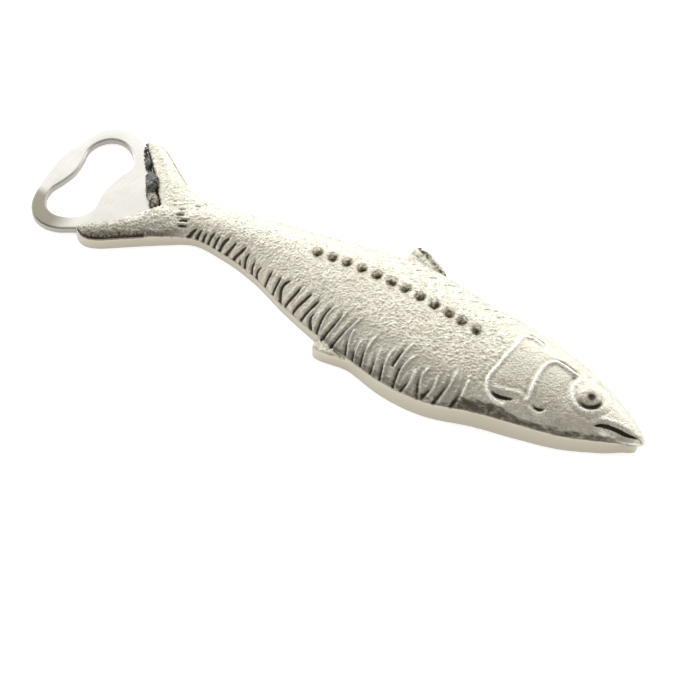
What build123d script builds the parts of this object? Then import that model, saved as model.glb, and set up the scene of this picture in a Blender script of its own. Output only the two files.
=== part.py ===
from build123d import *

import os
from math import cos, pi, sin

# Souvenir bottle opener: a fish cast in half relief, with a stamped steel opener
# plate held between its tail flukes and a dark bead of filler along the joint.
#
# Frame, in millimetres: the origin is on the flat ground back, on the axis of the
# opener plate and at mid-length. +X runs to the nose, +Y to the dorsal fin and +Z
# out of the relief. The opener lies on its back at z = 0.

# ---------------------------------------------------------------- driving sizes
PLATE_THICKNESS = 2.2
PLATE_EDGE_BREAK = 0.4
TANG_END_X = -47.5
TANG_END_HALF_WIDTH = 3.4
ANCHOR_HOLES = [(-55.2, 0.3, 2.0), (-50.6, 0.4, 1.4)]  # x, y, radius

FLUKE_WALL = 4.1
FLUKE_CROWN = 0.9
FLUKE_CROWN_TAPER = 40
FIN_THICKNESS = 4.0
BACK_ALLOWANCE = 1.0  # cast proud of the back, then ground off flat

BEAD_RADIUS = 1.2
BEAD_SINK = 0.35
EYE_CENTRE = (71.3, 1.2)
EYE_RADIUS = 3.6
EYE_RISE = 1.0
GROOVE_RADIUS = 0.45
MOUTH_WIDTH = 0.6
MOUTH_FLOOR = 4.0

FILLER_RADIUS = 1.15

# Half of the ring's outer edge, from its far end round to the fluke tip.
RING_EDGE = [(-92.5, 6.2), (-91.3, 11.4), (-89.4, 16.2), (-86.4, 19.2), (-82.2, 20.3), (-78.4, 19.5)]
RING_END_X = -93.1
SHOULDER = (-74.5, 17.2)
TANG_EDGE = [(-66.0, 13.2), (-58.0, 8.2)]

# Half of the cap mouth, from the ring side round to the lifting tab.
MOUTH_RING_X = -86.3
MOUTH_LOBE = [(-87.0, 4.6), (-88.0, 8.6), (-87.3, 12.0), (-84.9, 14.8), (-82.0, 15.6), (-78.9, 14.7),
              (-75.7, 12.0), (-74.3, 8.8), (-75.1, 5.4)]
LIFTING_TAB_X = -75.8

# Tail root to nose: x, belly edge y, back edge y, ground wall height, crest y, crest z.
BODY_STATIONS = [
    (-58.0, -11.9, 11.7, 4.1, 0.6, 4.9),
    (-52.0, -8.1, 9.0, 3.4, 1.6, 5.7),
    (-46.0, -4.2, 9.3, 2.7, 2.8, 6.7),
    (-36.0, -3.9, 11.1, 2.5, 3.5, 8.2),
    (-24.0, -6.2, 13.3, 2.5, 4.0, 9.6),
    (-12.0, -10.6, 15.5, 2.7, 4.3, 11.0),
    (0.0, -14.2, 17.8, 3.3, 4.5, 12.0),
    (12.0, -17.4, 19.0, 4.5, 4.6, 12.6),
    (24.0, -20.1, 17.8, 5.6, 4.1, 13.0),
    (36.0, -19.8, 15.9, 5.8, 3.2, 13.0),
    (48.0, -16.1, 14.9, 5.9, 2.6, 12.7),
    (60.0, -13.4, 12.9, 5.8, 1.6, 12.0),
    (70.0, -10.6, 10.0, 5.3, 0.6, 10.9),
    (79.0, -6.3, 6.2, 4.6, -0.3, 8.8),
    (85.0, -3.1, 2.8, 3.9, -0.7, 6.4),
    (88.2, -1.7, 0.2, 3.0, -0.6, 4.4),
]

LOWER_FLUKE = [(-73.4, -16.9), (-71.9, -18.2), (-69.0, -18.9), (-66.0, -18.0), (-61.9, -15.0), (-57.0, -11.4),
               (-54.0, 1.0), (-58.2, 1.0), (-61.2, -3.6), (-64.0, -7.7), (-67.6, -11.9)]
UPPER_FLUKE = [(-74.6, 17.0), (-73.2, 18.0), (-70.4, 18.8), (-66.8, 17.2), (-61.8, 14.2), (-57.0, 11.2),
               (-54.0, -0.2), (-58.2, -0.2), (-61.8, 3.6), (-65.6, 7.6), (-69.4, 11.8)]
SEAM_ENDS = [(-73.2, 15.4), (-59.4, 1.2)]
DORSAL_FIN = [(7.2, 16.0), (7.2, 24.2), (8.4, 25.0), (14.4, 22.8), (18.6, 20.1), (22.0, 16.0)]
ANAL_FIN = [(3.0, -13.0), (1.2, -15.8), (2.9, -18.6), (4.2, -19.2), (9.3, -18.5), (13.5, -17.9), (13.5, -14.0)]

BEADS = [(-10.5, 4.1), (-6.1, 4.4), (-1.8, 4.6), (2.6, 4.8), (7.0, 4.8), (11.4, 4.7), (15.9, 4.5), (20.3, 4.2),
         (24.8, 3.8), (29.3, 3.4), (33.7, 2.9), (38.1, 2.3)]

GILL_COVER = [(56.2, 7.2), (52.6, 8.3), (49.2, 6.6), (48.4, 0.0), (48.6, -8.0), (50.8, -11.0)]
CHEEK_PLATE = [(67.4, 4.6), (62.0, 5.3), (58.7, 3.4), (58.3, -2.2), (59.2, -7.4), (62.2, -9.4)]
MOUTH_LINE = [(75.5, -3.4), (79.0, -2.0), (82.5, -1.6), (86.0, -2.2), (90.0, -3.4)]


# ---------------------------------------------------------------- fish casting
def station_at(x):
    """The body station at x, interpolated between its two neighbours."""
    for low, high in zip(BODY_STATIONS, BODY_STATIONS[1:]):
        if x <= high[0]:
            break
    share = (x - low[0]) / (high[0] - low[0])
    return [a + share * (b - a) for a, b in zip(low, high)]


def dome_height(side, wall, crest):
    """Height of the relief at side, from 0 on the crest to 1 at the edge."""
    return wall + (crest - wall) * (1 - side ** 2.2) ** 0.75


def relief_height(x, y):
    """Height of the fish's skin above the flat back at a point in plan."""
    _, belly, back, wall, crest_y, crest_z = station_at(x)
    edge = belly if y < crest_y else back
    side = min((y - crest_y) / (edge - crest_y), 1.0)
    return dome_height(side, wall, crest_z)


def body_section(x, belly, back, wall, crest_y, crest_z):
    """One cross-section of the fish: flat back, two ground walls and a domed skin."""
    sides = [(belly, share) for share in (0.8, 0.45)] + [(crest_y, 0.0)]
    sides += [(back, share) for share in (0.45, 0.8)]
    skin = [(x, crest_y + share * (edge - crest_y), dome_height(share, wall, crest_z)) for edge, share in sides]
    dome = Spline((x, belly, wall), *skin, (x, back, wall))
    foot = -BACK_ALLOWANCE
    walls = Polyline((x, back, wall), (x, back, foot), (x, belly, foot), (x, belly, wall))
    return make_face([dome, *walls.edges()])


def plan_prism(points, height):
    """A straight-sided solid over a closed outline in plan."""
    return extrude(make_face(Polyline(*points, close=True)), height)


def fluke(points):
    """One lobe of the tail: a straight wall under a tapered crown."""
    wall = plan_prism(points, FLUKE_WALL)
    top = wall.faces().sort_by(Axis.Z)[-1]
    return wall + extrude(top, FLUKE_CROWN, taper=FLUKE_CROWN_TAPER)


def skin_groove(points, radius):
    """A round cutter whose centre line lies on the skin over the points in plan."""
    line = Spline(*[(x, y, relief_height(x, y)) for x, y in points])
    start = Plane(origin=line @ 0, z_dir=line % 0)
    return sweep(start * Circle(radius), path=line)


def mouth_cutter():
    """The mouth: a narrow upright slot that runs out through the nose."""
    line = Spline(*[(x, y, MOUTH_FLOOR) for x, y in MOUTH_LINE])
    start = Plane(origin=line @ 0, x_dir=(0, 0, 1), z_dir=line % 0)
    slot_height = 8
    section = start * Pos(slot_height / 2, 0) * Rectangle(slot_height, MOUTH_WIDTH)
    return sweep(section, path=line)


def fish_casting(tang_pocket):
    rough_body = loft([body_section(*station) for station in BODY_STATIONS])
    body = split(rough_body, bisect_by=Plane.XY, keep=Keep.TOP)
    body += fluke(LOWER_FLUKE)
    body += fluke(UPPER_FLUKE)
    body += plan_prism(DORSAL_FIN, FIN_THICKNESS)
    body += plan_prism(ANAL_FIN, FIN_THICKNESS)

    eye_x, eye_y = EYE_CENTRE
    eye_skin = relief_height(eye_x, eye_y)
    body -= Pos(eye_x, eye_y, eye_skin) * Torus(EYE_RADIUS, GROOVE_RADIUS)
    body += Pos(eye_x, eye_y, eye_skin + EYE_RISE - EYE_RADIUS) * Sphere(EYE_RADIUS)
    for x, y in BEADS:
        body += Pos(x, y, relief_height(x, y) - BEAD_SINK) * Sphere(BEAD_RADIUS)

    body -= skin_groove(GILL_COVER, GROOVE_RADIUS)
    body -= skin_groove(CHEEK_PLATE, GROOVE_RADIUS)
    body -= mouth_cutter()
    return body - tang_pocket


# ---------------------------------------------------------------- opener plate
def mirrored(points):
    """The points, then their mirror images in the plate's axis in reverse order."""
    return points + [(x, -y) for x, y in reversed(points)]


def plate_blank():
    """The stamped blank: ring and tang, with the cap mouth and the anchor holes."""
    shoulder_x, shoulder_y = SHOULDER
    ring = Spline((shoulder_x, -shoulder_y), *[(x, -y) for x, y in reversed(RING_EDGE)], (RING_END_X, 0),
                  *RING_EDGE, SHOULDER)
    upper = Polyline(SHOULDER, *TANG_EDGE, (TANG_END_X, TANG_END_HALF_WIDTH))
    end = Line((TANG_END_X, TANG_END_HALF_WIDTH), (TANG_END_X, -TANG_END_HALF_WIDTH))
    lower = mirror(upper, about=Plane.XZ)
    blank = make_face([*ring.edges(), *upper.edges(), *end.edges(), *lower.edges()])
    cap_mouth = Spline((MOUTH_RING_X, 0), *MOUTH_LOBE, (LIFTING_TAB_X, 0),
                       *[(x, -y) for x, y in reversed(MOUTH_LOBE)], periodic=True)
    blank -= make_face(cap_mouth)
    for x, y, radius in ANCHOR_HOLES:
        blank -= Pos(x, y) * Circle(radius)
    return extrude(blank, PLATE_THICKNESS)


def opener_plate(blank):
    """The blank with the sharp edges of its ring and cap mouth broken, top and bottom."""
    curved = blank.edges().filter_by(GeomType.BSPLINE)
    return chamfer(curved.filter_by(lambda edge: edge.bounding_box().size.Z < 0.1), PLATE_EDGE_BREAK)


# ---------------------------------------------------------------- seam filler
def seam_filler(casting, blank):
    """Lumps of dark filler in the corner where the upper fluke stands on the plate."""
    (tip_x, tip_y), (notch_x, notch_y) = SEAM_ENDS
    lump_count = 11
    lumps = []
    for number in range(lump_count):
        share = (number + 0.6) / lump_count
        swell = 1 + 0.3 * sin(7 * pi * share) * cos(3 * share)
        centre = Pos(tip_x + share * (notch_x - tip_x), tip_y + share * (notch_y - tip_y), PLATE_THICKNESS)
        lumps.append(centre * Sphere(FILLER_RADIUS * swell))
    return sum(lumps[1:], lumps[0]) - casting - blank


blank = plate_blank()
casting = fish_casting(blank)
nodes = {
    "fish_casting": casting,
    "opener_plate": opener_plate(blank),
    "seam_filler": seam_filler(casting, blank),
}

os.makedirs("parts", exist_ok=True)
for name, shape in nodes.items():
    export_step(shape, f"parts/{name}.step")
    print(name, "solids", len(shape.solids()), "volume", round(shape.volume, 1))
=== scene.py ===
import math

import bmesh
import bpy
import numpy as np
from mathutils import Matrix, Vector, noise


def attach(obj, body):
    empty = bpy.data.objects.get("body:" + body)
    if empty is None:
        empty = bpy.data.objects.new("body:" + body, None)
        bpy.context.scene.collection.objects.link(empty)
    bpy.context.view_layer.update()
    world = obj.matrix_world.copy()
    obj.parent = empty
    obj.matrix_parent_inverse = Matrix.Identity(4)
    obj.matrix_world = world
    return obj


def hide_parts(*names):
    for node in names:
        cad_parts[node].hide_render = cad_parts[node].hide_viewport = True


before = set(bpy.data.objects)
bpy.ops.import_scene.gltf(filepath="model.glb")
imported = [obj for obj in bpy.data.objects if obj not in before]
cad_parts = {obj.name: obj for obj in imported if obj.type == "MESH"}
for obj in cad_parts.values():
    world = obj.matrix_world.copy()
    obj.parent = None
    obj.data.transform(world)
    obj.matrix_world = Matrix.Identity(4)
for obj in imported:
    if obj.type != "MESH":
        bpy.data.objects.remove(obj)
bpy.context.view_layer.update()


# ------------------------------------------------------------------ opener plate
# The ring that lifts the cap: one piece stamped from 2.2 mm steel sheet, polished, with
# its edges rolled over. Its tang, with two anchor holes, goes under the fish's tail.

MM = 0.001  # sizes are in millimetres, and this makes them metres
PLATE_THICKNESS = 2.2
PLATE_ROUND = 0.62
HALF_EDGE = [(-93.1, 0.0), (-92.5, 6.2), (-91.3, 11.4), (-89.4, 16.2), (-86.4, 19.2), (-82.2, 20.3), (-78.4, 19.5),
             (-74.5, 17.2), (-66.0, 13.2), (-58.0, 8.2), (-47.5, 3.4)]
HALF_MOUTH = [(-86.3, 0.0), (-87.0, 4.6), (-88.0, 8.6), (-87.3, 12.0), (-84.9, 14.8), (-82.0, 15.6), (-78.9, 14.7),
              (-75.7, 12.0), (-74.3, 8.8), (-75.1, 5.4), (-75.8, 0.0)]
ANCHOR_HOLES = [(-55.2, 0.3, 2.0), (-50.6, 0.4, 1.4)]  # x, y, radius


def curve_through(x, knots, values):
    """Values at x on cubics through the knots, with the slope at each knot averaged."""
    slopes = np.gradient(values, knots)
    i = np.clip(np.searchsorted(knots, x) - 1, 0, len(knots) - 2)
    width = knots[i + 1] - knots[i]
    t = np.clip((x - knots[i]) / width, 0, 1)
    rise = values[i + 1] - values[i]
    start = slopes[i] * width
    end = slopes[i + 1] * width
    return values[i] + t * (start + t * (3 * rise - 2 * start - end + t * (start + end - 2 * rise)))


def smooth_line(points, per_leg=6):
    """A smooth open line through the points in plan."""
    points = np.array(points, float)
    legs = np.linalg.norm(np.diff(points, axis=0), axis=1)
    knots = np.concatenate([[0], np.cumsum(legs)])
    along = np.linspace(0, knots[-1], per_leg * len(legs) + 1)
    return np.stack([curve_through(along, knots, column) for column in points.T], 1)


def both_halves(points, count=132):
    """A closed smooth outline from its half above the plate's axis."""
    lower = [(x, -y) for x, y in points[::-1] if y > 0]
    closed = points + lower
    wrapped = np.array(closed[-2:] + closed + closed[:3])
    knots = np.concatenate([[0], np.cumsum(np.linalg.norm(np.diff(wrapped, axis=0), axis=1))])
    along = np.linspace(knots[2], knots[-3], count, endpoint=False)
    return np.stack([curve_through(along, knots, column) for column in wrapped.T], 1)


def circle(x, y, radius, count=32):
    """A closed circle in plan."""
    turns = np.linspace(0, 2 * math.pi, count, endpoint=False)
    return np.stack([x + radius * np.cos(turns), y + radius * np.sin(turns)], 1)


def plan_rings(outline, profile):
    """An outline in plan as rings that step in and up by the profile."""
    along = np.roll(outline, -1, axis=0) - np.roll(outline, 1, axis=0)
    along /= np.linalg.norm(along, axis=1)[:, None]
    inward = np.stack([-along[:, 1], along[:, 0]], 1)
    ahead = np.roll(outline, -1, axis=0)
    if (outline[:, 0] * ahead[:, 1] - ahead[:, 0] * outline[:, 1]).sum() < 0:
        inward = -inward
    return [[(*point, z) for point in outline + inset * inward] for inset, z in profile]


def add_walls(bm, rings):
    """Strips of faces between rings of equal length; returns the rings' vertices."""
    loops = [[bm.verts.new(Vector(point) * MM) for point in ring] for ring in rings]
    for low, high in zip(loops, loops[1:]):
        for i in range(len(low)):
            j = (i + 1) % len(low)
            bm.faces.new((low[i], low[j], high[j], high[i]))
    return loops


def sheet_mesh(name, edge, holes, profile):
    """A flat piece with holes; the profile's insets eat into the metal from every edge."""
    bm = bmesh.new()
    rims = add_walls(bm, plan_rings(edge, profile))
    ends = [[rims[0]], [rims[-1]]]
    for hole in holes:
        rims = add_walls(bm, plan_rings(hole, [(-inset, z) for inset, z in profile]))
        ends[0].append(rims[0])
        ends[1].append(rims[-1])
    for loops in ends:
        borders = [bm.edges.get((loop[i - 1], loop[i])) for loop in loops for i in range(len(loop))]
        bmesh.ops.triangle_fill(bm, use_beauty=True, edges=borders)
    bmesh.ops.recalc_face_normals(bm, faces=bm.faces)
    mesh = bpy.data.meshes.new(name)
    bm.to_mesh(mesh)
    bm.free()
    mesh.shade_smooth()
    return mesh


def finished(name, mesh, *modifiers):
    """An object at the origin whose modifiers, (kind, settings) each, are worked into its mesh."""
    piece = bpy.data.objects.new(name, mesh)
    bpy.context.scene.collection.objects.link(piece)
    for kind, settings in modifiers:
        modifier = piece.modifiers.new(kind, kind)
        for key, value in settings.items():
            if hasattr(modifier, key):
                setattr(modifier, key, value)
            else:
                modifier[key] = value
    if modifiers:
        evaluated = piece.evaluated_get(bpy.context.evaluated_depsgraph_get())
        result = bpy.data.meshes.new_from_object(evaluated)
        piece.modifiers.clear()
        piece.data = result
    piece.data.name = name
    return piece


def rolled_edge(thickness, radius, steps=5):
    """Inset and height round an edge that is rolled over at the bottom and the top."""
    turns = np.linspace(0, math.pi / 2, steps + 1)
    low = [(radius * (1 - math.sin(t)), radius * (1 - math.cos(t))) for t in turns]
    return low + [(inset, thickness - z) for inset, z in low[::-1]]


def set_stops(elements, stops):
    """A ramp's stops as (position, colour) pairs."""
    while len(elements) < len(stops):
        elements.new(1.0)
    for element, (position, colour) in zip(elements, stops):
        element.position = position
        element.color = colour


def add_node(tree, kind, settings=None, values=None):
    """A node of a kind, its settings or a ramp's stops made first, then its sockets set or linked."""
    made = tree.nodes.new(kind)
    for key, value in (settings or {}).items():
        if key == "stops":
            set_stops(made.color_ramp.elements, value)
        else:
            setattr(made, key, value)
    for key, value in (values or {}).items():
        if isinstance(value, bpy.types.NodeSocket):
            tree.links.new(value, made.inputs[key])
        else:
            made.inputs[key].default_value = value
    return made


class Wire:
    """One output socket of a finish, so that masks are written as sums and products."""

    def __init__(self, finish, socket):
        self.finish = finish
        self.socket = socket

    def __add__(self, other):
        return self.finish.maths("ADD", self, other)

    def __sub__(self, other):
        return self.finish.maths("SUBTRACT", self, other)

    def __rsub__(self, other):
        return self.finish.maths("SUBTRACT", other, self)

    def __mul__(self, other):
        return self.finish.maths("MULTIPLY", self, other)

    def __neg__(self):
        return self * -1

    __radd__ = __add__
    __rmul__ = __mul__


class Finish:
    """A surface finish: a material with one metal or filler shader, and the nodes that feed it."""

    def __init__(self, name):
        self.material = bpy.data.materials.new(name)
        self.material.use_nodes = True
        self.tree = self.material.node_tree
        self.shader = self.tree.nodes["Principled BSDF"]

    def node(self, kind, settings=None, values=None, output=0):
        """One output of a new node whose sockets are set to values or linked to wires."""
        plain = {key: value.socket if isinstance(value, Wire) else value for key, value in (values or {}).items()}
        return Wire(self, add_node(self.tree, kind, settings, plain).outputs[output])

    def maths(self, operation, first, second):
        """Two values or wires joined by one operation."""
        return self.node("ShaderNodeMath", {"operation": operation}, {0: first, 1: second})

    def between(self, value, low, high):
        """0 where value is at low, 1 at high."""
        settings = {"interpolation_type": "SMOOTHSTEP"}
        return self.node("ShaderNodeMapRange", settings, {"Value": value, "From Min": low, "From Max": high})

    def blend(self, share, first, second):
        """The first colour at share 0 and the second at share 1."""
        return self.node("ShaderNodeMix", {"data_type": "RGBA"}, {0: share, 6: first, 7: second}, 2)

    def place(self, stretch=(1, 1, 1), turn=0.0):
        """Object coordinates, stretched and turned about the upright axis."""
        coordinates = self.node("ShaderNodeTexCoord", output=3)
        return self.node("ShaderNodeMapping", None,
                         {"Vector": coordinates, "Rotation": (0, 0, turn), "Scale": stretch})

    def sides(self, where):
        """The x, y and z of a place."""
        split = add_node(self.tree, "ShaderNodeSeparateXYZ", None, {0: where.socket})
        return [Wire(self, output) for output in split.outputs]

    def lumps(self, where, size, detail=2.0, roughness=0.5):
        """Noise from 0 to 1 with lumps of about the size in millimetres."""
        values = {"Vector": where, "Scale": 1 / (size * MM), "Detail": detail, "Roughness": roughness}
        return self.node("ShaderNodeTexNoise", None, values)

    def mark(self, name):
        """A value stored on the mesh's points."""
        return self.node("ShaderNodeAttribute", {"attribute_name": name}, output=2)

    def bump(self, height, depth, normal=None):
        """A normal bent by a height from 0 to 1 that stands for depth in millimetres."""
        values = {"Height": height, "Distance": depth * MM, "Strength": 1.0}
        if normal:
            values["Normal"] = normal
        return self.node("ShaderNodeBump", None, values)

    def shade(self, **inputs):
        """Sets or links the shader's sockets, whose names have underscores for spaces."""
        for key, value in inputs.items():
            socket = self.shader.inputs[key.replace("_", " ")]
            if isinstance(value, Wire):
                self.tree.links.new(value.socket, socket)
            else:
                socket.default_value = value
        return self.material


STEEL = (0.458, 0.436, 0.392, 1)
STEEL_SHADE = (0.430, 0.408, 0.364, 1)
STEEL_DULL = (0.156, 0.140, 0.100, 1)
WORN_FADE_X = (-75.0 * MM, -82.0 * MM)  # from polished to worn
WORN_FADE_Y = (-8.0 * MM, -11.6 * MM)


def polished_steel():
    """Polished sheet, dull and worn dark at one side of the ring."""
    finish = Finish("polished_steel")
    where = finish.place()
    streaks = finish.lumps(finish.place((1.0, 0.05, 1.0), math.radians(20)), 0.25, 3.0)
    cloud = finish.lumps(where, 7.0, 2.0)
    x, y, z = finish.sides(where)
    worn = finish.between(y + 1.6 * MM * cloud, *WORN_FADE_Y) * finish.between(x, *WORN_FADE_X)
    worn = worn * finish.between(z, 1.8 * MM, 2.15 * MM)
    sheared_wall = finish.between(z, 2.1 * MM, 1.6 * MM)
    rough = 0.15 + 0.07 * cloud + 0.05 * streaks + 0.10 * worn + 0.3 * sheared_wall
    colour = finish.blend(finish.between(cloud, 0.3, 0.7), STEEL, STEEL_SHADE)
    colour = finish.blend(worn * 0.9, colour, STEEL_DULL)
    return finish.shade(Base_Color=colour, Metallic=1.0, Roughness=rough, Normal=finish.bump(streaks, 0.02))


plate_edge = both_halves(HALF_EDGE)
plate_holes = [both_halves(HALF_MOUTH)] + [circle(*hole) for hole in ANCHOR_HOLES]
plate = finished("opener_plate_polished",
                 sheet_mesh("opener_plate", plate_edge, plate_holes, rolled_edge(PLATE_THICKNESS, PLATE_ROUND)),
                 ("WEIGHTED_NORMAL", {"weight": 100}))
plate.data.materials.append(polished_steel())
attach(plate, "root")
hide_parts("opener_plate")


# ------------------------------------------------------------------ fish casting
# One sand casting of a bright nickel-coloured alloy: the fish in half relief with its
# fins, tail lobes, eye and gill plates. The skin keeps the grain of the sand mould, the
# side is a linished band, the back is ground flat and the opener plate is cast into it.

# Tail root to nose: x, belly edge y, back edge y, band height, crest y, crest z.
BODY_STATIONS = np.array([
    (-58.0, -11.9, 11.7, 3.7, 0.6, 4.45),
    (-52.0, -8.1, 9.0, 3.4, 1.6, 5.7),
    (-46.0, -4.2, 9.3, 2.7, 2.8, 6.7),
    (-36.0, -3.9, 11.1, 2.5, 3.5, 8.2),
    (-24.0, -6.2, 13.3, 2.5, 4.0, 9.6),
    (-12.0, -10.6, 15.5, 2.7, 4.3, 11.0),
    (0.0, -14.2, 17.8, 3.3, 4.5, 12.0),
    (12.0, -17.4, 19.0, 4.5, 4.6, 12.6),
    (24.0, -20.1, 17.8, 5.6, 4.1, 13.0),
    (36.0, -19.8, 15.9, 5.8, 3.2, 13.0),
    (48.0, -16.1, 14.9, 5.9, 2.6, 12.7),
    (60.0, -13.4, 12.9, 5.8, 1.6, 12.0),
    (70.0, -10.6, 10.0, 5.3, 0.6, 10.9),
    (79.0, -6.3, 6.2, 4.6, -0.3, 8.8),
    (85.0, -3.1, 2.8, 3.9, -0.7, 6.4),
    (87.2, -2.1, 1.0, 3.3, -0.6, 5.1),
    (88.0, -1.5, 0.3, 3.0, -0.6, 4.4),
])
UNDERCUT_Z = -1.0  # the shells run below the back, which is then ground off at z = 0
RING_STEP = 0.5
DOME_STEPS = 72
CHIN_SETBACK = 1.7
SKIN_STEP = 0.305  # spacing of the finished skin's points

LOWER_FLUKE = [(-73.6, -16.6), (-72.8, -18.4), (-69.4, -19.6), (-65.8, -18.2), (-61.4, -14.9), (-56.4, -11.2),
               (-50.0, -6.6), (-50.0, 5.0), (-58.4, 0.9), (-60.9, -3.0), (-64.0, -7.6), (-67.6, -11.9)]
UPPER_FLUKE = [(-75.3, 17.2), (-74.0, 19.0), (-70.4, 19.4), (-66.4, 17.2), (-61.4, 13.9), (-56.4, 10.9),
               (-50.0, 8.8), (-50.0, -4.0), (-58.4, -0.4), (-62.0, 3.6), (-65.6, 7.6), (-69.2, 11.4)]
DORSAL_FIN = [(7.0, 14.0), (7.0, 23.0), (7.4, 25.2), (10.8, 25.1), (15.4, 23.2), (19.4, 20.6), (24.0, 14.0)]
ANAL_FIN = [(4.0, -12.0), (1.6, -14.8), (1.6, -16.4), (1.7, -17.4), (1.8, -18.1), (2.1, -18.5), (2.8, -18.7),
            (4.4, -18.8), (7.6, -18.3), (10.4, -17.7), (13.0, -17.7), (16.5, -18.7), (18.0, -13.0)]
FLUKE_PROFILE = [(0.0, UNDERCUT_Z), (0.0, 3.6), (0.25, 3.9), (0.8, 4.2), (1.4, 4.4)]  # inset, z
FIN_PROFILE = [(0.0, UNDERCUT_Z), (0.0, 3.5), (0.2, 3.85), (0.7, 4.1)]
LOBE_WALL = 3.6  # height of the smooth side of the fins and tail lobes
LOBES_TO = -56.0  # x where the tail lobes end
FINS_FROM = -45.0  # x from where anything outside the body's edges is a fin
TAIL_LINES_TO = -42.0
HEAD_FROM = 44.0
CREASE_TURN = 12  # degrees by which the mould's creases slant from the fish's axis


def body_at(x):
    """Belly edge, back edge, band height, crest y and crest z at x."""
    knots = BODY_STATIONS[:, 0]
    return [curve_through(x, knots, column) for column in BODY_STATIONS.T[1:]]


def dome(side):
    """Height of the skin between the band at side 1 and the crest at side 0."""
    return (1 - np.clip(np.abs(side), 0, 1) ** 2.2) ** 0.75


def skin_z(x, y):
    """Height of the smooth skin above the back."""
    belly, back, wall, crest_y, crest_z = body_at(np.asarray(x, float))
    side = (y - crest_y) / np.where(y < crest_y, belly - crest_y, back - crest_y)
    return wall + (crest_z - wall) * dome(side)


def body_rings():
    """The fish as closed rings round its long axis, tail root to nose."""
    sides = np.cos(np.linspace(0, math.pi, DOME_STEPS))
    rings = []
    for x in np.arange(BODY_STATIONS[0, 0], BODY_STATIONS[-1, 0] + RING_STEP / 2, RING_STEP):
        belly, back, wall, crest_y, crest_z = body_at(x)
        y = crest_y + sides * np.where(sides > 0, back - crest_y, crest_y - belly)
        z = wall + (crest_z - wall) * dome(sides)
        ring = [(back, UNDERCUT_Z), *zip(y, z), (belly, UNDERCUT_Z)]
        rings.append([(x, ring_y, ring_z) for ring_y, ring_z in ring])
    return rings


def rounded(outline, passes=3):
    """A closed outline with its corners cut round."""
    points = np.array(outline, float)
    for _ in range(passes):
        ahead = np.roll(points, -1, axis=0)
        points = np.stack([0.75 * points + 0.25 * ahead, 0.25 * points + 0.75 * ahead], 1).reshape(-1, 2)
    return points


def add_shell(bm, rings):
    """A closed shell over rings of equal length."""
    loops = add_walls(bm, rings)
    bm.faces.new(reversed(loops[0]))
    bm.faces.new(loops[-1])


def across_line(place, line):
    """Distance to the left of a line in plan, and the share of its length gone by."""
    nearest = np.full(len(place), 1e9)
    left = np.zeros(len(place))
    share = np.zeros(len(place))
    legs = np.diff(line, axis=0)
    lengths = np.linalg.norm(legs, axis=1)
    start = 0.0
    for origin, leg, length in zip(line, legs, lengths):
        offset = place - origin
        along = np.clip(offset @ leg / length ** 2, 0, 1)
        apart = np.linalg.norm(offset - along[:, None] * leg, axis=1)
        side = np.sign(leg[0] * offset[:, 1] - leg[1] * offset[:, 0])
        closer = apart < nearest
        nearest = np.where(closer, apart, nearest)
        left = np.where(closer, side * apart, left)
        share = np.where(closer, (start + along * length) / lengths.sum(), share)
        start += length
    return left, share


def ramp(value, low, high):
    """0 up to low, 1 from high on, and a smooth step between them."""
    t = np.clip((value - low) / (high - low), 0, 1)
    return t * t * (3 - 2 * t)


def hump(distance, width):
    """1 at distance 0, dying away over the width."""
    return np.exp(-(distance / width) ** 2)


def grain(place, size, seed):
    """Sand-mould grain: noise from -1 to 1 with lumps of about the size, in each direction."""
    offset = Vector((seed * 17.3, seed * 5.1, seed * 9.7))
    return np.array([noise.noise(Vector(point) + offset) for point in place / np.array(size)])


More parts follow.
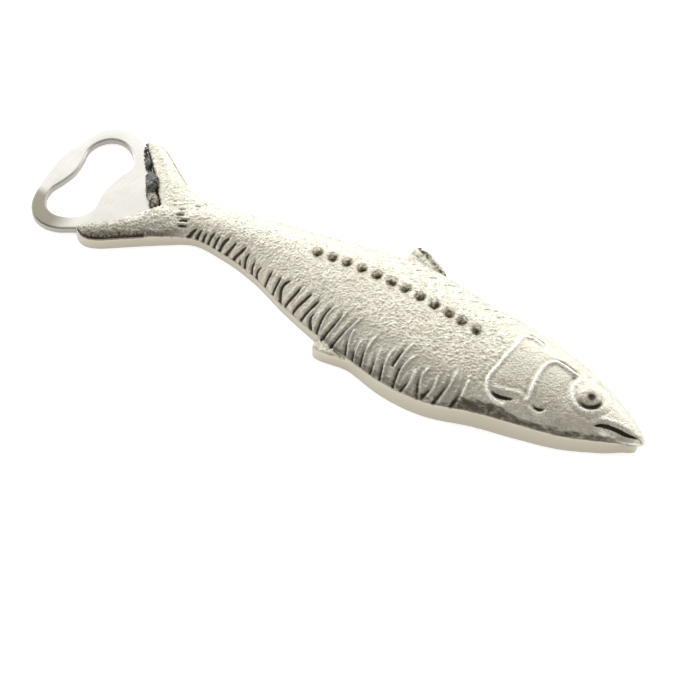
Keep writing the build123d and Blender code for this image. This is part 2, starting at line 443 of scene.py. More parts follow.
# Belly folds: cuts up from the band, each given by its top, middle and foot in plan, from the tail.
FOLDS = [
    ((-44.3, -1.2), (-45.2, -2.6), (-45.9, -3.9)),
    ((-43.0, -1.2), (-43.6, -2.4), (-43.9, -3.4)),
    ((-41.3, -1.2), (-41.9, -2.5), (-42.1, -3.7)),
    ((-39.0, -0.6), (-39.9, -2.0), (-40.4, -3.5)),
    ((-37.3, -0.9), (-38.0, -2.3), (-38.4, -3.7)),
    ((-34.2, -0.5), (-35.6, -2.0), (-36.4, -3.6)),
    ((-32.0, -0.8), (-33.0, -2.6), (-34.2, -3.9)),
    ((-28.7, -1.1), (-29.8, -2.6), (-31.2, -3.9)),
    ((-29.6, -3.6), (-29.5, -4.6), (-29.0, -5.6)),
    ((-26.9, -2.1), (-27.9, -3.6), (-27.0, -6.0)),
    ((-24.9, -2.9), (-25.2, -4.9), (-24.0, -6.9)),
    ((-21.9, -4.0), (-23.3, -5.6), (-22.1, -7.5)),
    ((-18.8, -4.2), (-19.2, -6.0), (-19.7, -8.0)),
    ((-15.6, -4.8), (-15.9, -6.8), (-16.4, -8.9)),
    ((-11.6, -5.0), (-14.1, -7.3), (-12.9, -10.6)),
    ((-8.7, -5.6), (-9.5, -8.0), (-10.9, -10.0)),
    ((-4.6, -5.9), (-6.2, -8.6), (-7.9, -10.9)),
    ((-1.8, -6.8), (-3.4, -9.8), (-5.1, -12.3)),
    ((-1.3, -10.0), (-2.6, -11.7), (-1.4, -13.7)),
    ((2.6, -6.8), (0.9, -10.0), (0.7, -14.3)),
    ((5.8, -6.9), (4.9, -11.0), (3.0, -15.1)),
    ((10.4, -7.1), (8.4, -12.0), (6.2, -16.3)),
    ((9.7, -10.7), (10.0, -14.0), (11.4, -17.9)),
    ((13.2, -12.4), (13.0, -15.4), (13.9, -18.5)),
    ((16.3, -10.2), (15.6, -14.6), (16.7, -19.2)),
    ((18.9, -12.7), (19.4, -16.0), (19.9, -19.6)),
    ((22.5, -11.1), (21.8, -14.6), (23.1, -20.1)),
    ((26.1, -8.1), (25.1, -11.6), (24.6, -15.4)),
    ((28.4, -10.6), (26.7, -14.6), (27.1, -20.2)),
    ((29.6, -14.4), (30.2, -16.9), (29.2, -20.2)),
    ((33.0, -11.5), (32.1, -15.0), (33.9, -19.8)),
    ((35.5, -13.2), (36.2, -16.0), (34.7, -19.8)),
    ((39.3, -9.8), (39.5, -14.0), (38.1, -19.6)),
    ((42.8, -9.8), (43.2, -14.0), (42.3, -18.6)),
]
FOLD_REACH = 2.2  # a fold changes nothing further off than this
FOLD_RUN_OUT = 1.0  # how far a fold runs on past its foot
FOLD_LIP_AT = 0.74  # from the middle of the cut to the middle of its lip


def close_to(place, line, reach):
    """Which points lie within reach of a line's box in plan."""
    line = np.array(line)
    low = line.min(axis=0) - reach
    high = line.max(axis=0) + reach
    return np.all((place > low) & (place < high), axis=1)


def belly_folds(place):
    """Relief of the belly folds: deep cuts towards the tail, thin raised lips towards the head."""
    relief = np.zeros(len(place))
    for number, (top, middle, foot) in enumerate(FOLDS):
        fold = np.array([top, middle, foot])
        fold[2] += FOLD_RUN_OUT * (fold[2] - fold[1]) / np.linalg.norm(fold[2] - fold[1])
        near = close_to(place, fold, FOLD_REACH)
        left, share = across_line(place[near], smooth_line(fold))
        headward = ramp(top[0], -6.0, 16.0)
        ends = ramp(share, 0.0, 0.35) * ramp(1 - share, 0.0, 0.04)
        low = ramp(share, 0.15, 0.75)
        cut = (0.60 * (1 - headward) + 0.50 * headward * low) * ends
        width = 0.28 + 0.16 * ramp(share, 0.0, 0.6) + 0.04 * (number % 3) * (1 - headward)
        lip = (0.14 + 0.36 * headward) * ramp(share, 0.0, 0.2) * ramp(1 - share, 0.0, 0.06)
        relief[near] += lip * hump(left - FOLD_LIP_AT, 0.36) - cut * hump(left, width)
        relief[near] += 0.14 * ends * hump(left + 1.0, 0.55)
    return relief


# Scales on the back: only the free edges show, as short arcs in staggered rows. Each row is
# given by its place between crest (0) and back edge (1), and by how plainly it shows.
SCALE_ROWS = [(0.44, 0.35), (0.58, 1.0), (0.72, 0.8), (0.86, 0.6)]
SCALE_PITCH = 4.3
SCALE_ARC = np.array([(-0.9, -1.1), (-0.25, 0.15), (0.8, 1.0)])  # from the middle of the arc
SCALE_ENDS = (4.5, 47.0)  # x of the first and last arc
SCALE_REACH = 1.5


def scale_edges(place):
    """Relief of the scales' free edges, and how dark each edge is."""
    relief = np.zeros(len(place))
    dark = np.zeros(len(place))
    chance = np.random.default_rng(5)
    for row, (share_of_side, plainness) in enumerate(SCALE_ROWS):
        for x in np.arange(SCALE_ENDS[0] + row % 2 * SCALE_PITCH / 2, SCALE_ENDS[1], SCALE_PITCH):
            _, back, _, crest_y, _ = body_at(x)
            shift = chance.normal(0, 0.25, 2)
            middle = np.array([x, crest_y + share_of_side * (back - crest_y)]) + shift
            arc = middle + SCALE_ARC * chance.uniform(0.7, 1.15)
            plain = plainness * chance.uniform(0.3, 1.0)
            near = close_to(place, arc, SCALE_REACH)
            left, share = across_line(place[near], smooth_line(arc))
            ends = ramp(share, 0.0, 0.25) * ramp(1 - share, 0.0, 0.25)
            relief[near] += ends * (0.16 * hump(left + 0.5, 0.5) - 0.12 * hump(left, 0.25))
            dark[near] = np.maximum(dark[near], plain * ends * hump(left, 0.30))
    return relief, dark


# Lines of the head and tail in plan.
GILL_RIM = [(55.5, 7.2), (52.3, 8.2), (49.9, 7.9), (48.8, 6.4), (48.9, 4.0), (48.5, 0.2), (48.2, -3.5), (47.7, -6.8),
            (47.8, -9.3), (49.0, -11.0), (50.6, -11.8), (52.8, -12.0), (55.2, -11.3)]
GILL_LIP = [(49.3, -9.4), (51.6, -9.2), (54.0, -8.5), (56.6, -7.9), (58.3, -8.4), (59.2, -9.2)]
GILL_SLIT = [(49.0, -10.4), (50.8, -10.9), (52.8, -10.7), (54.9, -10.1), (56.8, -9.3)]
CHEEK_RIM = [(67.2, 4.0), (64.6, 4.3), (62.0, 4.7), (59.8, 4.6), (58.6, 3.4), (58.0, 1.4), (58.0, -1.8), (58.3, -4.3),
             (58.7, -6.8), (59.4, -8.8)]
CHEEK_LIP = [(59.5, -9.4), (61.6, -10.0), (63.6, -9.2), (64.4, -8.2)]
CHEEK_SLIT = [(60.2, -8.5), (61.6, -9.0), (63.2, -8.6), (64.1, -7.9)]
BROW_LINES = [[(59.4, 5.5), (61.6, 6.0), (63.8, 5.6), (65.8, 5.2)], [(48.9, 9.2), (51.6, 9.6), (54.6, 9.1)],
              [(68.0, 4.4), (69.6, 5.6), (71.9, 5.9)]]
MOUTH_LINE = [(75.6, -5.5), (77.8, -4.1), (80.6, -3.1), (83.6, -2.4), (85.6, -1.6), (86.9, -1.1)]
HEAD_LINES = [  # line, height (a cut is below zero), half its width, share of it that tapers
    (GILL_RIM, 0.46, 0.46, 0.06), (CHEEK_RIM, 0.50, 0.52, 0.06), (GILL_LIP, 0.24, 0.50, 0.12),
    (CHEEK_LIP, 0.34, 0.36, 0.12), (GILL_SLIT, -0.95, 0.30, 0.45), (CHEEK_SLIT, -0.65, 0.26, 0.45),
    *((line, -0.22, 0.26, 0.12) for line in BROW_LINES)]
EYE_CENTRE = np.array([71.4, 0.8])
EYE_RADIUS = 3.2
EYE_RISE = 1.35
ORBIT_RADIUS = 4.6
PUPIL_CENTRE = np.array([72.1, -0.1])
PUPIL_RADIUS = 0.75
# The dark spot on the eye is a painted reflection, this wide.
PUPIL_REFLECTION_RADIUS = 0.95
TAIL_CUTS = [[(-52.9, 0.7), (-50.4, 1.9)], [(-52.6, -1.1), (-49.7, 0.1)], [(-50.8, -2.5), (-47.7, -1.1)],
             [(-50.2, -3.7), (-46.7, -2.6)], [(-49.6, 3.9), (-47.4, 4.7)], [(-48.2, 5.8), (-46.2, 6.4)]]
TAIL_CUT_DEPTHS = [0.30, 0.42, 0.46, 0.34, 0.28, 0.22]
TAIL_CREASE = np.array([(-55.7, 2.3), (-53.4, 4.0), (-51.3, 5.6), (-49.9, 6.3)])
CREASE_LIP_SHIFT = (0.5, -0.9)
LINE_REACH = 3.0


def line_relief(place, line, height, width, taper):
    """Relief of one raised or cut line that tapers at its ends; a raised one has a shallow fall on each side."""
    relief = np.zeros(len(place))
    near = close_to(place, line, LINE_REACH)
    left, share = across_line(place[near], smooth_line(line))
    ends = ramp(share, 0.0, taper) * ramp(1 - share, 0.0, taper)
    relief[near] = height * ends * hump(left, width)
    if height > 0:
        relief[near] -= 0.28 * height * ends * hump(np.abs(left) - 2.1 * width, 0.8 * width)
    return relief


def mouth_and_eye(place):
    """Relief of the mouth slit with its lips, and of the eye in its orbit."""
    left, share = across_line(place, smooth_line(MOUTH_LINE))
    gape = ramp(share, 0.0, 0.3) * (1 - 0.85 * ramp(share, 0.55, 1.0))
    relief = -1.0 * ramp(share, 0.0, 0.12) * ramp(1 - share, 0.0, 0.15) * hump(left, 0.12 + 0.28 * gape)
    relief += 0.34 * ramp(share, 0.0, 0.2) * hump(left + 0.55 + 0.75 * gape, 0.34)
    relief += 0.22 * gape * hump(left - 1.5, 0.6)

    offset = place - EYE_CENTRE
    radius = np.linalg.norm(offset, axis=1)
    forward_low = ramp((0.55 * offset[:, 0] - 0.83 * offset[:, 1]) / np.maximum(radius, 0.1), 0.1, 0.9)
    backward_low = ramp((-0.6 * offset[:, 0] - 0.8 * offset[:, 1]) / np.maximum(radius, 0.1), -0.7, 0.5)
    relief -= (0.05 + 0.50 * forward_low ** 2) * hump(radius - EYE_RADIUS - 0.15, 0.40)
    relief += (0.09 + 0.20 * backward_low) * hump(radius - ORBIT_RADIUS, 0.70)
    relief -= 0.16 * hump(radius - ORBIT_RADIUS - 1.4, 0.6)
    return relief - 0.40 * hump(np.linalg.norm(place - PUPIL_CENTRE, axis=1), PUPIL_RADIUS)


def head_relief(place):
    """Relief of the gill cover, cheek plate, mouth and eye."""
    return sum(line_relief(place, *line) for line in HEAD_LINES) + mouth_and_eye(place)


def tail_relief(place):
    """Relief of the short cuts and the crease where the tail joins the body."""
    relief = line_relief(place, TAIL_CREASE, -0.2, 0.4, 0.12)
    relief += line_relief(place, TAIL_CREASE + CREASE_LIP_SHIFT, 0.2, 0.3, 0.12)
    for cut, depth in zip(TAIL_CUTS, TAIL_CUT_DEPTHS):
        relief += line_relief(place, cut, -depth, 0.36, 0.3)
        for side in (-0.85, 0.85):
            relief += line_relief(place, np.array(cut) + (0.0, side), 0.20, 0.28, 0.3)
    return relief


def eye_ball(place):
    """How far the eye ball stands out of the head."""
    radius = np.linalg.norm(place - EYE_CENTRE, axis=1)
    return EYE_RISE * np.sqrt(np.clip(1 - (radius / EYE_RADIUS) ** 2, 0, 1))


def fluke_swell(place):
    """How far the tail lobes swell up between their edges."""
    inside = np.full(len(place), -9.0)
    for outline in (LOWER_FLUKE, UPPER_FLUKE[::-1]):
        edge = rounded(outline)
        inside = np.maximum(inside, across_line(place, np.vstack([edge, edge[:1]]))[0])
    return 1.5 * ramp(inside, -1.6, 4.6)


# Sockets that the flank beads stand in.
BEAD_LINE = [(-10.5, 4.1), (2.2, 4.8), (14.0, 4.6), (26.0, 3.7), (38.1, 2.3)]
BEAD_COUNT = 12
BEAD_RADIUS = 1.12
bead_line = smooth_line(BEAD_LINE, 24)
bead_places = bead_line[np.linspace(0, len(bead_line) - 1, BEAD_COUNT).round().astype(int)]


def fold_zone(x, y, belly, crest_y):
    """1 on the belly where the folds are, 0 above them."""
    headward = ramp(-6.0 - 0.12 * np.maximum(x, 0) - y, -1.0, 1.5) * ramp(x, -46, -44) * ramp(46.0 - x, 0.0, 3.0)
    tailward = ramp(0.45 - (y - belly) / (crest_y - belly), 0.0, 0.15) * ramp(x, -48, -46)
    return np.where(x < -10, tailward, headward)


def mould_grain(points, on_folds):
    """Relief left by the sand mould: short creases, fine grain, and a slow swell under both."""
    x, y, z = points.T
    rough = 1 - 0.45 * on_folds - 0.60 * ramp(x, 46, 50)
    rough += 1.1 * ramp(-50 - x, 0, 6) * (y < 0) - 0.2 * (x < LOBES_TO) * (y > 0)
    turn = math.radians(CREASE_TURN)
    turned = np.stack([x * math.cos(turn) + y * math.sin(turn), y * math.cos(turn) - x * math.sin(turn), z], 1)
    coarse = 0.62 + 0.38 * ramp(x, -2, 18)
    creases = np.abs(grain(turned / coarse[:, None], (1.0, 0.72, 0.8), 1))
    fine = grain(points, (0.46, 0.42, 0.42), 2)
    return rough * (0.37 * coarse * (creases - 0.2) + 0.20 * fine) + 0.10 * grain(points, (4.5, 4.5, 4.5), 3)


def shade_and_tone(points, belly, edge, on_fin, on_folds):
    """Painted shade on the throat, across the lower tail lobe, along its edge and over the folds, and a darker tone
    on the upper lobe and inside the gill plates.
    """
    x, y = points[:, :2].T
    above_band = y - belly
    blotches = grain(points, (2.4, 0.8, 0.8), 4)

    # Painted shade on the throat: the steep belly near the band is darkened as if it reflected the dark horizon.
    throat = ramp(x, 41.5, 43.5) * ramp(86.0 - x, 0.0, 6.0) * ~on_fin
    reach = 2.5 - 1.3 * ramp(x, 52.0, 60.0)
    throat *= ramp(reach - above_band + 0.7 * blotches, -0.2, 0.7)

    # Painted shade across the lower tail lobe: darker towards the side where its swelling top curves down.
    across_lobe = 0.563 * (x + 60.0) - 0.826 * (y + 9.5)
    lower_lobe = 0.33 * ramp(across_lobe, -3.6, -0.4) + 0.45 * ramp(across_lobe + 0.9 * blotches, 1.2, 2.6)
    lower_lobe *= ramp(-46.0 - x, 0.0, 6.0) * (y < 1)
    upper_lobe = 0.06 * (x < LOBES_TO) * (y > 0)
    # A painted shadow line along the lower lobe's edge, under its rounded top.
    lobe_edge = 0.95 * hump(edge - 0.30, 0.22) * (x < -52) * (y < -4)

    # Painted shade over the folds, deepest near the band where the belly is steep.
    fold_feet = on_folds * ramp(x, -8, 14) * ramp(44 - x, 0, 2)
    fold_feet *= 0.32 + 0.50 * ramp(1.8 - above_band + 1.6 * blotches, 0.0, 1.4)
    gill_plates = 0.20 * ramp(x, 49.5, 50.5) * ramp(67.5 - x, 0, 1.5) * ramp(7.0 - y, 0, 2) * ramp(y + 8.5, 0, 1)
    return np.maximum.reduce([throat, lower_lobe, upper_lobe, lobe_edge, fold_feet, gill_plates])


def dorsal_marks(points):
    """Relief and dark stripes of the dorsal fin, which run along its free edge."""
    x, y = points[:, :2].T
    rise = y - (26.6 - 0.46 * np.maximum(x - 6.0, 0.0))
    stripes = np.maximum(hump(rise + 0.9, 0.85), 0.7 * hump(rise + 3.4, 0.3) * ramp(15 - x, 0, 4))
    chips = grain(points, (0.8, 0.8, 0.8), 6)
    return 0.2 * chips + 0.15 * hump(rise + 2.4, 0.4), stripes * (1.0 + 1.5 * chips)


def cast_relief(points):
    """Relief on the smooth fish, the swells under it, how far the skin is left as cast, and where it is darkened:
    discoloured rings round the beads, dark scale edges and fin stripes, painted shade and a painted reflection in the
    eye.
    """
    place = points[:, :2]
    x, y, z = points.T
    belly, back, wall, crest_y, _ = body_at(x)
    on_fin = ((y > back + 0.4) | (y < belly - 0.4)) & (x > FINS_FROM)
    on_lobe = x < LOBES_TO
    edge = z - np.where(on_fin | on_lobe, LOBE_WALL, wall)
    as_cast = ramp(edge, 0.02, 0.35)
    on_folds = fold_zone(x, y, belly, crest_y) * ~on_fin

    scales, scale_lines = scale_edges(place)
    relief = belly_folds(place) * ramp(x, -48, -46) * ~on_fin + scales * ~on_fin
    head = (x > HEAD_FROM) & ~on_fin
    relief[head] += head_relief(place[head])
    tail = x < TAIL_LINES_TO
    relief[tail] += tail_relief(place[tail])
    relief += mould_grain(points, on_folds)
    swell = eye_ball(place) + fluke_swell(place) * ramp(-52.0 - x, 0.0, 7.0)

    # Discolouring and painted shade together: painted shade from the throat, lobes and folds, dark scale edges, rings
    # round the beads, a painted reflection in the eye and the dorsal fin's stripes.
    tarnish = as_cast * np.maximum(shade_and_tone(points, belly, edge, on_fin, on_folds), 1.5 * scale_lines)
    for centre in bead_places:
        from_socket = np.linalg.norm(place - centre, axis=1) - BEAD_RADIUS
        relief -= 0.20 * hump(from_socket - 0.15, 0.38)
        tarnish = np.maximum(tarnish, 0.55 * hump(from_socket - 0.1, 0.38))
    from_pupil = np.linalg.norm(place - PUPIL_CENTRE, axis=1)
    # A painted dark reflection of the camera on the eye, centred on the pupil's dimple.
    tarnish = np.maximum(tarnish, 1.9 * hump(from_pupil, PUPIL_REFLECTION_RADIUS))
    on_dorsal = (y > back + 0.2) & (x > 0)
    chips, stripes = dorsal_marks(points)
    relief += np.where(on_dorsal, chips, 0.0)
    tarnish = np.where(on_dorsal, stripes, tarnish)

    ledge = hump(edge - 0.28, 0.30) * (0.16 + 0.12 * grain(points, (2.0, 2.0, 2.0), 5) + 0.36 * on_lobe)
    return as_cast * relief - ledge * (x > -74) * ~on_fin, as_cast * swell, as_cast, tarnish


def read_rows(items, key):
    """A vector property of a mesh's items as rows."""
    rows = np.empty(len(items) * 3)
    items.foreach_get(key, rows)
    return rows.reshape(-1, 3)


bm = bmesh.new()
add_shell(bm, body_rings())
for outline, profile in ((LOWER_FLUKE, FLUKE_PROFILE), (UPPER_FLUKE, FLUKE_PROFILE), (DORSAL_FIN, FIN_PROFILE),
                         (ANAL_FIN, FIN_PROFILE)):
    add_shell(bm, plan_rings(rounded(outline), profile))
bmesh.ops.triangulate(bm, faces=[face for face in bm.faces if len(face.verts) > 4])
bmesh.ops.recalc_face_normals(bm, faces=bm.faces)
shells = bpy.data.meshes.new("fish_casting")
bm.to_mesh(shells)
bm.free()
rough_casting = finished("rough_casting", shells,
                         ("REMESH", {"mode": "VOXEL", "voxel_size": SKIN_STEP * MM, "use_smooth_shade": True}),
                         ("SMOOTH", {"factor": 0.5, "iterations": 3}))

skin = rough_casting.data
points = read_rows(skin.vertices, "co") / MM
normals = read_rows(skin.vertex_normals, "vector")
relief, swell, as_cast, tarnish = cast_relief(points)
points += normals * (relief + swell)[:, None]
chin = ramp(points[:, 0], 79.0, 88.0) * ramp(3.9 - points[:, 2], 0.0, 1.3)
points[:, 0] -= CHIN_SETBACK * chin
skin.vertices.foreach_set("co", (points * MM).ravel())
# The last mark holds the discolouring together with painted shade and a painted reflection.
for name, values in (("relief", relief), ("as_cast", as_cast), ("tarnish", tarnish)):
    skin.attributes.new(name, "FLOAT", "POINT").data.foreach_set("value", values)
skin.update()

bm = bmesh.new()
bm.from_mesh(skin)
bmesh.ops.bisect_plane(bm, geom=[*bm.verts, *bm.edges, *bm.faces], plane_co=(0, 0, 0), plane_no=(0, 0, -1),
                       clear_outer=True)
bmesh.ops.holes_fill(bm, edges=[edge for edge in bm.edges if edge.is_boundary])
bm.to_mesh(skin)
bm.free()
bpy.data.objects.remove(rough_casting)

cutter = finished("tang_cutter", sheet_mesh("tang_cutter", plate_edge, plate_holes[1:],
                                            [(0, UNDERCUT_Z), (0, PLATE_THICKNESS)]))
casting = finished("fish_casting_skin", skin, ("BOOLEAN", {"operation": "DIFFERENCE", "object": cutter,
                                                           "solver": "MANIFOLD"}))
bpy.data.objects.remove(cutter)

# The rubbed nickel is painted on the crests as real rubbing and as a painted highlight.
RUBBED_AND_HIGHLIGHT_NICKEL = (0.80, 0.765, 0.68, 1)
BRIGHT_NICKEL = (0.60, 0.560, 0.468, 1)
DULL_NICKEL = (0.47, 0.434, 0.347, 1)
# The crevice colour is painted shade with patina, in the hollows and the grain's low spots.
CREVICE_SHADE_AND_PATINA = (0.060, 0.041, 0.027, 1)
# The dark colour below is painted shade and a painted reflection as well as real discolouring.
DARK_STAIN_AND_SHADE = (0.062, 0.050, 0.036, 1)


def cast_nickel():
    """Grainy bright casting with painted highlights on the crests, painted shade and patina dark in the crevices and
    the grain's low spots, the skin's discolouring and painted shade, and a finely lined band along the side.
    """
    finish = Finish("cast_nickel")
    where = finish.place()
    as_cast = finish.mark("as_cast")
    relief = finish.mark("relief")
    # Painted shade and patina: the hollows of the relief are darkened.
    hollow = finish.between(-relief, 0.06, 0.42)
    crest = finish.between(relief, 0.10, 0.42)
    mottle = finish.lumps(where, 1.6, 3.0)
    fine = finish.lumps(where, 0.34, 3.0, 0.6)
    pebbles = finish.lumps(where, 0.58, 2.0, 0.6)
    lines = finish.lumps(finish.place((0.04, 0.04, 1.0)), 0.12, 2.0)

    tone = finish.between(mottle, 0.35, 0.65) * as_cast
    colour = finish.blend(1 - 0.6 * tone, BRIGHT_NICKEL, DULL_NICKEL)
    # Painted highlight: the crests of the relief are painted lighter, partly for real rubbing.
    colour = finish.blend(crest * as_cast, colour, RUBBED_AND_HIGHLIGHT_NICKEL)
    # Painted shade where the fine grain that also bends the normal is low.
    grain_pit_shade = finish.between(fine, 0.44, 0.30) * as_cast
    colour = finish.blend(grain_pit_shade * 0.5, colour, CREVICE_SHADE_AND_PATINA)
    # Darkened by the skin's discolouring and by painted shade and a painted reflection.
    stain_and_shade_share = finish.mark("tarnish") * (0.55 + 0.45 * finish.between(fine + mottle, 0.75, 1.05))
    colour = finish.blend(stain_and_shade_share * 0.92, colour, DARK_STAIN_AND_SHADE)
    colour = finish.blend(hollow * 0.94, colour, CREVICE_SHADE_AND_PATINA)
    rough = 0.22 + 0.06 * mottle + 0.08 * fine * as_cast + hollow * 0.2
    grain_bump = finish.bump((0.4 * fine + 0.6 * pebbles) * as_cast, 0.42)
    line_bump = finish.bump(lines * (1 - as_cast), 0.012, grain_bump)
    return finish.shade(Base_Color=colour, Metallic=1.0, Roughness=rough, Normal=line_bump)


nickel_skin = cast_nickel()
casting.data.materials.clear()
casting.data.materials.append(nickel_skin)
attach(casting, "root")
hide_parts("fish_casting")


# ------------------------------------------------------------------ flank beads
# Twelve half-round beads along the flank, pressed into the mould with the fish and so
# part of the same casting. They stand just off its crest line, 4.4 mm apart.

BEAD_SINK = 0.12
BEAD_BRIGHT = (0.47, 0.425, 0.315, 1)
BEAD_DARK = (0.060, 0.045, 0.025, 1)


def dulled_nickel():
    """The casting's metal as it is on the beads, where polish never reached: mottled dark."""
    finish = Finish("dulled_nickel")
    where = finish.place()
    mottle = finish.lumps(where, 1.1, 3.0)
    fine = finish.lumps(where, 0.35, 3.0)
    colour = finish.blend(0.22 + 0.7 * finish.between(mottle + 0.4 * fine, 0.60, 0.82), BEAD_BRIGHT, BEAD_DARK)
    return finish.shade(Base_Color=colour, Metallic=1.0, Roughness=0.34 + 0.12 * mottle,
                        Normal=finish.bump(fine, 0.22))


BALL_INPUTS = (("Radius", "NodeSocketFloat"), ("Spread", "NodeSocketFloat"), ("Flatten", "NodeSocketFloat"),
               ("Seed", "NodeSocketInt"), ("Material", "NodeSocketMaterial"))


def balls_tree():
    """A tree that puts a real ball of random size on each point, and its inputs' identifiers by name."""
    tree = bpy.data.node_groups.new("balls_on_points", "GeometryNodeTree")
    for way in ("INPUT", "OUTPUT"):
        tree.interface.new_socket("Geometry", in_out=way, socket_type="NodeSocketGeometry")
    inputs = {name: tree.interface.new_socket(name, in_out="INPUT", socket_type=kind).identifier
              for name, kind in BALL_INPUTS}
    entry = add_node(tree, "NodeGroupInput").outputs
    ball = add_node(tree, "GeometryNodeMeshIcoSphere", None, {"Radius": entry["Radius"], "Subdivisions": 4})
    least = add_node(tree, "ShaderNodeMath", {"operation": "SUBTRACT"}, {0: 1.0, 1: entry["Spread"]})
    most = add_node(tree, "ShaderNodeMath", {"operation": "ADD"}, {0: 1.0, 1: entry["Spread"]})
    size = add_node(tree, "FunctionNodeRandomValue", None,
                    {"Min": least.outputs[0], "Max": most.outputs[0], "Seed": entry["Seed"]}).outputs[1]
    tall = add_node(tree, "ShaderNodeMath", {"operation": "MULTIPLY"}, {0: size, 1: entry["Flatten"]})
    scale = add_node(tree, "ShaderNodeCombineXYZ", None, {"X": size, "Y": size, "Z": tall.outputs[0]})
    placed = add_node(tree, "GeometryNodeInstanceOnPoints", None,
                      {"Points": entry["Geometry"], "Instance": ball.outputs["Mesh"], "Scale": scale.outputs[0]})
    real = add_node(tree, "GeometryNodeRealizeInstances", None, {"Geometry": placed.outputs["Instances"]})
    smooth = add_node(tree, "GeometryNodeSetShadeSmooth", None, {"Geometry": real.outputs["Geometry"]})
    coated = add_node(tree, "GeometryNodeSetMaterial", None,
                      {"Geometry": smooth.outputs["Geometry"], "Material": entry["Material"]})
    add_node(tree, "NodeGroupOutput", None, {"Geometry": coated.outputs["Geometry"]})
    return tree, inputs


def balls_on(name, centres, **sizes):
    """One plain mesh of balls on the centres, which are in millimetres."""
    mesh = bpy.data.meshes.new(name)
    mesh.from_pydata([Vector(centre) * MM for centre in centres], [], [])
    tree, inputs = balls_tree()
    sockets = {inputs[key]: value for key, value in sizes.items()}
    return finished(name, mesh, ("NODES", {"node_group": tree, **sockets}))


bead_centres = [(x, y, float(skin_z(x, y)) - BEAD_SINK) for x, y in bead_places]
beads = balls_on("flank_beads", bead_centres, Radius=BEAD_RADIUS * MM, Spread=0.06, Flatten=0.95, Seed=3,
                 Material=dulled_nickel())
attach(beads, "root")
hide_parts("fish_casting")


# ------------------------------------------------------------------ seam filler
# Dark lumpy residue left where the upper tail lobe stands on the plate, with a small
# spot at the tip of the lower lobe. It fills the corner and was never cleaned off.

# Dabs along the corner from the upper lobe's tip to its root, then the lower lobe's spot: x, y, z, radius.
FILLER_DABS = [(-75.1, 17.5, 2.8, 0.4), (-74.6, 16.7, 2.8, 0.6), (-73.7, 15.6, 2.9, 0.7), (-72.6, 14.4, 3.0, 0.8),
               (-71.5, 13.2, 3.1, 0.9), (-70.5, 12.2, 3.2, 1.1), (-69.8, 11.2, 3.0, 0.8), (-68.9, 10.2, 2.7, 0.4),
               (-67.4, 8.5, 3.2, 1.1), (-66.5, 7.8, 3.6, 1.5), (-65.4, 7.0, 3.8, 1.8), (-64.6, 5.9, 3.9, 1.9),
               (-64.1, 4.8, 3.8, 1.8), (-64.0, 4.1, 3.2, 1.5), (-62.7, 3.1, 3.2, 0.9), (-61.9, 2.1, 3.5, 1.4),
               (-61.0, 1.4, 3.6, 1.4), (-60.1, 0.7, 3.7, 1.2), (-74.0, -16.6, 2.2, 0.4)]
FILLER_STEP = 0.16
SOOT = (0.024, 0.025, 0.021, 1)
ASH = (0.20, 0.185, 0.135, 1)
BROWN_SCORCH = (0.10, 0.070, 0.045, 1)
PALE_SCORCH = (0.50, 0.43, 0.32, 1)
SCORCH_FADE_Y = (3.6 * MM, 2.4 * MM)  # from black to scorched, towards the root


def blackened():
    """Burnt-looking residue: near black and a little glossy, brown and grey where thin."""
    finish = Finish("blackened_residue")
    where = finish.place()
    lumps = finish.lumps(where, 0.8, 4.0, 0.65)
    crumbs = finish.lumps(where, 0.35, 3.0)
    scorched = finish.between(finish.sides(where)[1], *SCORCH_FADE_Y)
    colour = finish.blend(finish.between(lumps, 0.44, 0.66), SOOT, ASH)
    browned = finish.blend(finish.between(lumps, 0.42, 0.56), BROWN_SCORCH, PALE_SCORCH)
    colour = finish.blend(scorched * 0.85, colour, browned)
    rough = 0.30 + 0.35 * lumps
    return finish.shade(Base_Color=colour, Roughness=rough, Specular_IOR_Level=0.8,
                        Normal=finish.bump(crumbs, 0.35))


bm = bmesh.new()
for x, y, z, radius in FILLER_DABS:
    centre = Matrix.Translation(Vector((x, y, z)) * MM)
    bmesh.ops.create_icosphere(bm, subdivisions=3, radius=radius * MM, matrix=centre)
for vertex in bm.verts:
    place = vertex.co / MM
    vertex.co += vertex.normal * MM * (0.55 * noise.noise(place / 1.1) + 0.3 * noise.noise(place / 0.5))
dab_mesh = bpy.data.meshes.new("seam_filler")
bm.to_mesh(dab_mesh)
bm.free()
filler = finished("seam_filler_residue", dab_mesh,
                  ("REMESH", {"mode": "VOXEL", "voxel_size": FILLER_STEP * MM, "use_smooth_shade": True}),
                  ("SMOOTH", {"factor": 0.5, "iterations": 1}))
filler.data.materials.clear()
filler.data.materials.append(blackened())
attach(filler, "root")
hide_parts("seam_filler")


# ------------------------------------------------------------------ floor, lights and camera
# The opener lies on a large sheet of white paper, which glows a little to stay white.
# All the light comes from the walls of the room, so that the metal has them to reflect.

FLOOR_SIZE = 3.0  # metres
FLOOR_GLOW = 0.58
ROOM_STRENGTH = 3.85
ROOM_TURN = -32  # degrees about the upright axis
# Share of the way from the near horizon over the top to the far horizon, and the wall's grey there.
ROOM_STOPS = [(0.0, 0.018), (0.07, 0.036), (0.15, 0.137), (0.25, 0.173), (0.40, 0.173), (0.50, 0.20), (0.58, 0.273),
              (0.66, 0.345), (0.71, 0.39), (0.75, 0.64), (0.80, 0.90), (0.86, 1.0), (1.0, 1.0)]

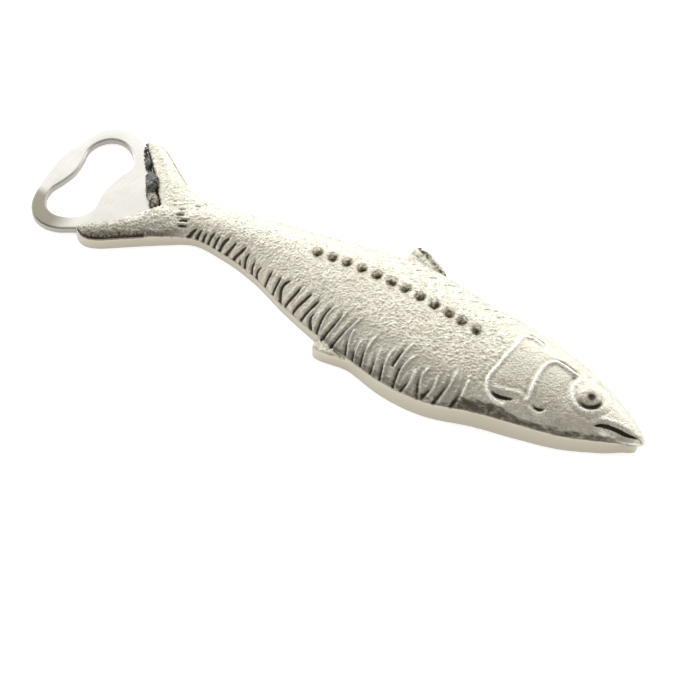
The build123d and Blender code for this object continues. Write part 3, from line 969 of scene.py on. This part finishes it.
floor_mesh = bpy.data.meshes.new("floor")
half = FLOOR_SIZE / 2
floor_mesh.from_pydata([(-half, -half, 0), (half, -half, 0), (half, half, 0), (-half, half, 0)], [], [(0, 1, 2, 3)])
floor_mesh.materials.append(Finish("white_paper").shade(Base_Color=(0.82, 0.82, 0.82, 1), Roughness=0.9,
                                                        Emission_Color=(1, 1, 1, 1), Emission_Strength=FLOOR_GLOW))
floor = finished("floor", floor_mesh)


def wall_colour(grey):
    """A wall's grey, a little cooler where it is bright."""
    cool = 0.09 * min(max((grey - 0.40) / 0.3, 0), 1)
    return (grey * (1 - cool), grey * (1 - 0.6 * cool), grey, 1)


def light_room():
    """The studio's walls: bright behind and above the fish, dim on the side where it is looked at from."""
    world = bpy.data.worlds.new("studio")
    bpy.context.scene.world = world
    world.use_nodes = True
    room = world.node_tree
    coordinates = add_node(room, "ShaderNodeTexCoord")
    turned = add_node(room, "ShaderNodeVectorRotate", {"rotation_type": "Z_AXIS"},
                      {"Vector": coordinates.outputs["Generated"], "Angle": math.radians(ROOM_TURN)})
    parts = add_node(room, "ShaderNodeSeparateXYZ", None, {"Vector": turned.outputs["Vector"]})
    angle = add_node(room, "ShaderNodeMath", {"operation": "ARCTAN2"},
                     {0: parts.outputs["Z"], 1: parts.outputs["Y"]})
    over = add_node(room, "ShaderNodeMapRange", None,
                    {"From Min": math.pi, "From Max": 0.0, "Value": angle.outputs["Value"]})
    colours = add_node(room, "ShaderNodeValToRGB",
                       {"stops": [(position, wall_colour(grey)) for position, grey in ROOM_STOPS]},
                       {"Fac": over.outputs["Result"]})
    background = room.nodes["Background"]
    room.links.new(colours.outputs["Color"], background.inputs["Color"])
    background.inputs["Strength"].default_value = ROOM_STRENGTH


light_room()

TARGET = Vector((9.24, -11.57, 0.0)) * MM
CAMERA = Vector((193.8, -306.9, 445.8)) * MM
CAMERA_LENS = 113.14
CAMERA_NEAR = 0.01  # metres
camera_data = bpy.data.cameras.new("camera")
camera_data.lens = CAMERA_LENS
camera_data.clip_start = CAMERA_NEAR
camera = bpy.data.objects.new("camera", camera_data)
camera.location = CAMERA
camera.rotation_euler = (TARGET - CAMERA).to_track_quat("-Z", "Y").to_euler()
bpy.context.scene.collection.objects.link(camera)
bpy.context.scene.camera = camera
bpy.context.scene.view_settings.view_transform = "Standard"
